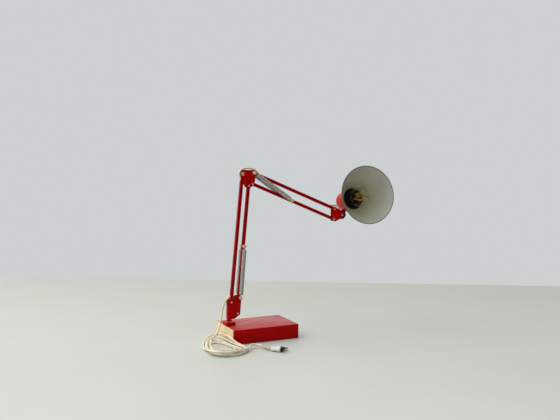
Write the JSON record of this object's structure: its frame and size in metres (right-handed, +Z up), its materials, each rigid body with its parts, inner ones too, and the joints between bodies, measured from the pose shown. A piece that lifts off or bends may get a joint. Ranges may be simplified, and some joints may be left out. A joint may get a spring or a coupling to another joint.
{
  "type": "architect desk lamp",
  "caption": "Spring-balanced desk lamp with parallel twin-bar arms, a conical shade on a swivelling head, a weighted rectangular base and a mains lead coiled beside it.",
  "frame": {"origin": "centre of the base's underside, on the surface the lamp stands on", "axes": "+Z up; +X along the base's long side, the way the arms reach; +Y from the lead's side of the shade mouth towards the back of the head"},
  "size_m": [0.5862, 0.2559, 0.5071],
  "materials": {
    "red_enamel": "gloss red enamel",
    "cream_enamel": "satin cream enamel",
    "cream_plastic": "satin cream plastic",
    "cream_lead": "soft cream sheath",
    "white_plastic": "white plastic",
    "black_plastic": "satin black",
    "zinc_steel": "bright zinc",
    "spring_steel": "bright wire",
    "cast_iron": "rough cast",
    "rubber_pad": "matt",
    "brass": "satin",
    "clear_glass": "clear",
    "filament": "gold wire"
  },
  "bodies": {
    "base": {"base_cover": "red_enamel", "base_end_plate": "cream_enamel", "base_weight": "cast_iron", "base_pad": "rubber_pad", "foot_block": "red_enamel", "spindle_bush": "brass", "mains_cord": "cream_lead", "cord_bundle": "cream_lead", "cord_tail": "cream_lead", "plug_relief": "white_plastic", "plug_body": "white_plastic", "plug_pin_left": "zinc_steel", "plug_pin_right": "zinc_steel"},
    "bracket": {"lower_bracket": "red_enamel", "spindle": "red_enamel", "lower_rear_pivot": "zinc_steel", "lower_front_pivot": "zinc_steel", "lower_peg_near": "cream_plastic", "lower_peg_far": "cream_plastic"},
    "lower_rear": {"lower_rear_bar": "red_enamel", "lower_cable": "cream_lead", "cord_sleeve": "cream_plastic"},
    "lower_front": {"lower_front_bar": "red_enamel", "lower_bar_peg": "cream_plastic"},
    "lower_springs": {"lower_spring_near": "spring_steel", "lower_spring_far": "spring_steel"},
    "lower_tails": {"lower_spring_tail_near": "spring_steel", "lower_spring_tail_far": "spring_steel"},
    "elbow": {"elbow_plate_near": "red_enamel", "elbow_plate_far": "red_enamel", "elbow_rear_pivot": "zinc_steel", "elbow_front_pivot": "zinc_steel", "elbow_lower_pivot": "zinc_steel", "elbow_peg": "cream_plastic", "elbow_cable": "cream_lead"},
    "upper_top": {"upper_top_bar": "red_enamel", "upper_cable": "cream_lead"},
    "upper_bottom": {"upper_bottom_bar": "red_enamel", "upper_bar_peg": "cream_plastic"},
    "upper_springs": {"upper_spring_near": "spring_steel", "upper_spring_far": "spring_steel"},
    "upper_spring_ends": {"upper_spring_end_near": "spring_steel", "upper_spring_end_far": "spring_steel"},
    "upper_tails": {"upper_spring_tail_near": "spring_steel", "upper_spring_tail_far": "spring_steel"},
    "head_bracket": {"head_cheek_near": "red_enamel", "head_cheek_far": "red_enamel", "head_upper_pivot": "zinc_steel", "head_lower_pivot": "zinc_steel", "head_tilt_bolt": "zinc_steel", "head_cable": "cream_lead"},
    "knuckle": {"knuckle": "black_plastic", "head_nipple": "zinc_steel"},
    "head": {"head_cap": "red_enamel", "shade": "red_enamel", "lamp_socket": "black_plastic", "bulb_glass": "clear_glass", "bulb_cap": "brass", "bulb_stem": "clear_glass", "bulb_filament": "filament"}
  },
  "joints": [
    {"name": "base_swivel", "type": "hinge", "parent": "base", "child": "bracket", "pos_m": [-0.0885, 0, 0.06], "axis": [0, 0, 1], "range_deg": [-120, 120], "deforming": ["mains_cord"]},
    {"name": "lower_arm", "type": "hinge", "parent": "bracket", "child": "lower_rear", "pos_m": [-0.0836, 0, 0.1083], "axis": [0, 1, 0], "range_deg": [-20, 60], "deforming": ["cord_sleeve", "elbow_cable", "lower_spring_near", "lower_spring_far", "lower_spring_tail_near", "lower_spring_tail_far"]},
    {"name": "lower_parallel", "type": "hinge", "parent": "bracket", "child": "lower_front", "pos_m": [-0.064, 0, 0.0742], "axis": [0, 1, 0], "range_deg": [-20, 60]},
    {"name": "lower_spring_turn", "type": "hinge", "parent": "bracket", "child": "lower_springs", "pos_m": [-0.0581, 0, 0.1203], "axis": [0, 1, 0], "range_deg": [-25, 75]},
    {"name": "lower_tail_turn", "type": "hinge", "parent": "lower_front", "child": "lower_tails", "pos_m": [-0.04818, 0, 0.26866], "axis": [0, 1, 0], "range_deg": [-5, 15]},
    {"name": "elbow_turn", "type": "hinge", "parent": "lower_rear", "child": "elbow", "pos_m": [-0.05361, 0, 0.47708], "axis": [0, 1, 0], "range_deg": [-60, 20]},
    {"name": "upper_arm", "type": "hinge", "parent": "elbow", "child": "upper_top", "pos_m": [-0.01961, 0, 0.48038], "axis": [0, -1, 0], "range_deg": [-30, 40], "deforming": ["head_cable", "upper_spring_near", "upper_spring_far", "upper_spring_end_near", "upper_spring_end_far", "upper_spring_tail_near", "upper_spring_tail_far"]},
    {"name": "upper_parallel", "type": "hinge", "parent": "elbow", "child": "upper_bottom", "pos_m": [-0.02261, 0, 0.44898], "axis": [0, -1, 0], "range_deg": [-30, 40]},
    {"name": "upper_spring_turn", "type": "hinge", "parent": "elbow", "child": "upper_springs", "pos_m": [-0.01961, 0, 0.48038], "axis": [0, -1, 0], "range_deg": [-28, 38]},
    {"name": "upper_spring_stretch", "type": "slide", "parent": "upper_springs", "child": "upper_spring_ends", "axis": [0.8387, 0, -0.5446], "range_m": [-0.02, 0.015]},
    {"name": "upper_tail_turn", "type": "hinge", "parent": "upper_bottom", "child": "upper_tails", "pos_m": [0.104, 0, 0.40013], "axis": [0, -1, 0], "range_deg": [-4, 3]},
    {"name": "head_bracket_turn", "type": "hinge", "parent": "upper_top", "child": "head_bracket", "pos_m": [0.25655, 0, 0.37382], "axis": [0, -1, 0], "range_deg": [-40, 30]},
    {"name": "head_tilt", "type": "hinge", "parent": "head_bracket", "child": "knuckle", "pos_m": [0.28355, 0, 0.35512], "axis": [0, 1, 0], "range_deg": [-15, 95]},
    {"name": "head_swivel", "type": "hinge", "parent": "knuckle", "child": "head", "pos_m": [0.3138, 0, 0.40225], "axis": [0.5402, 0, 0.8415], "range_deg": [-30, 180]}
  ],
  "couplings": [
    {"joint": "lower_parallel", "follows": "lower_arm", "ratio": 1},
    {"joint": "lower_spring_turn", "follows": "lower_arm", "ratio": 1.24},
    {"joint": "lower_tail_turn", "follows": "lower_arm", "ratio": 0.24},
    {"joint": "elbow_turn", "follows": "lower_arm", "ratio": -1},
    {"joint": "upper_parallel", "follows": "upper_arm", "ratio": 1},
    {"joint": "upper_spring_turn", "follows": "upper_arm", "ratio": 0.925},
    {"joint": "upper_spring_stretch", "follows": "upper_arm", "m_per_rad": -0.028},
    {"joint": "upper_tail_turn", "follows": "upper_arm", "ratio": -0.075},
    {"joint": "head_bracket_turn", "follows": "upper_arm", "ratio": -1}
  ]
}
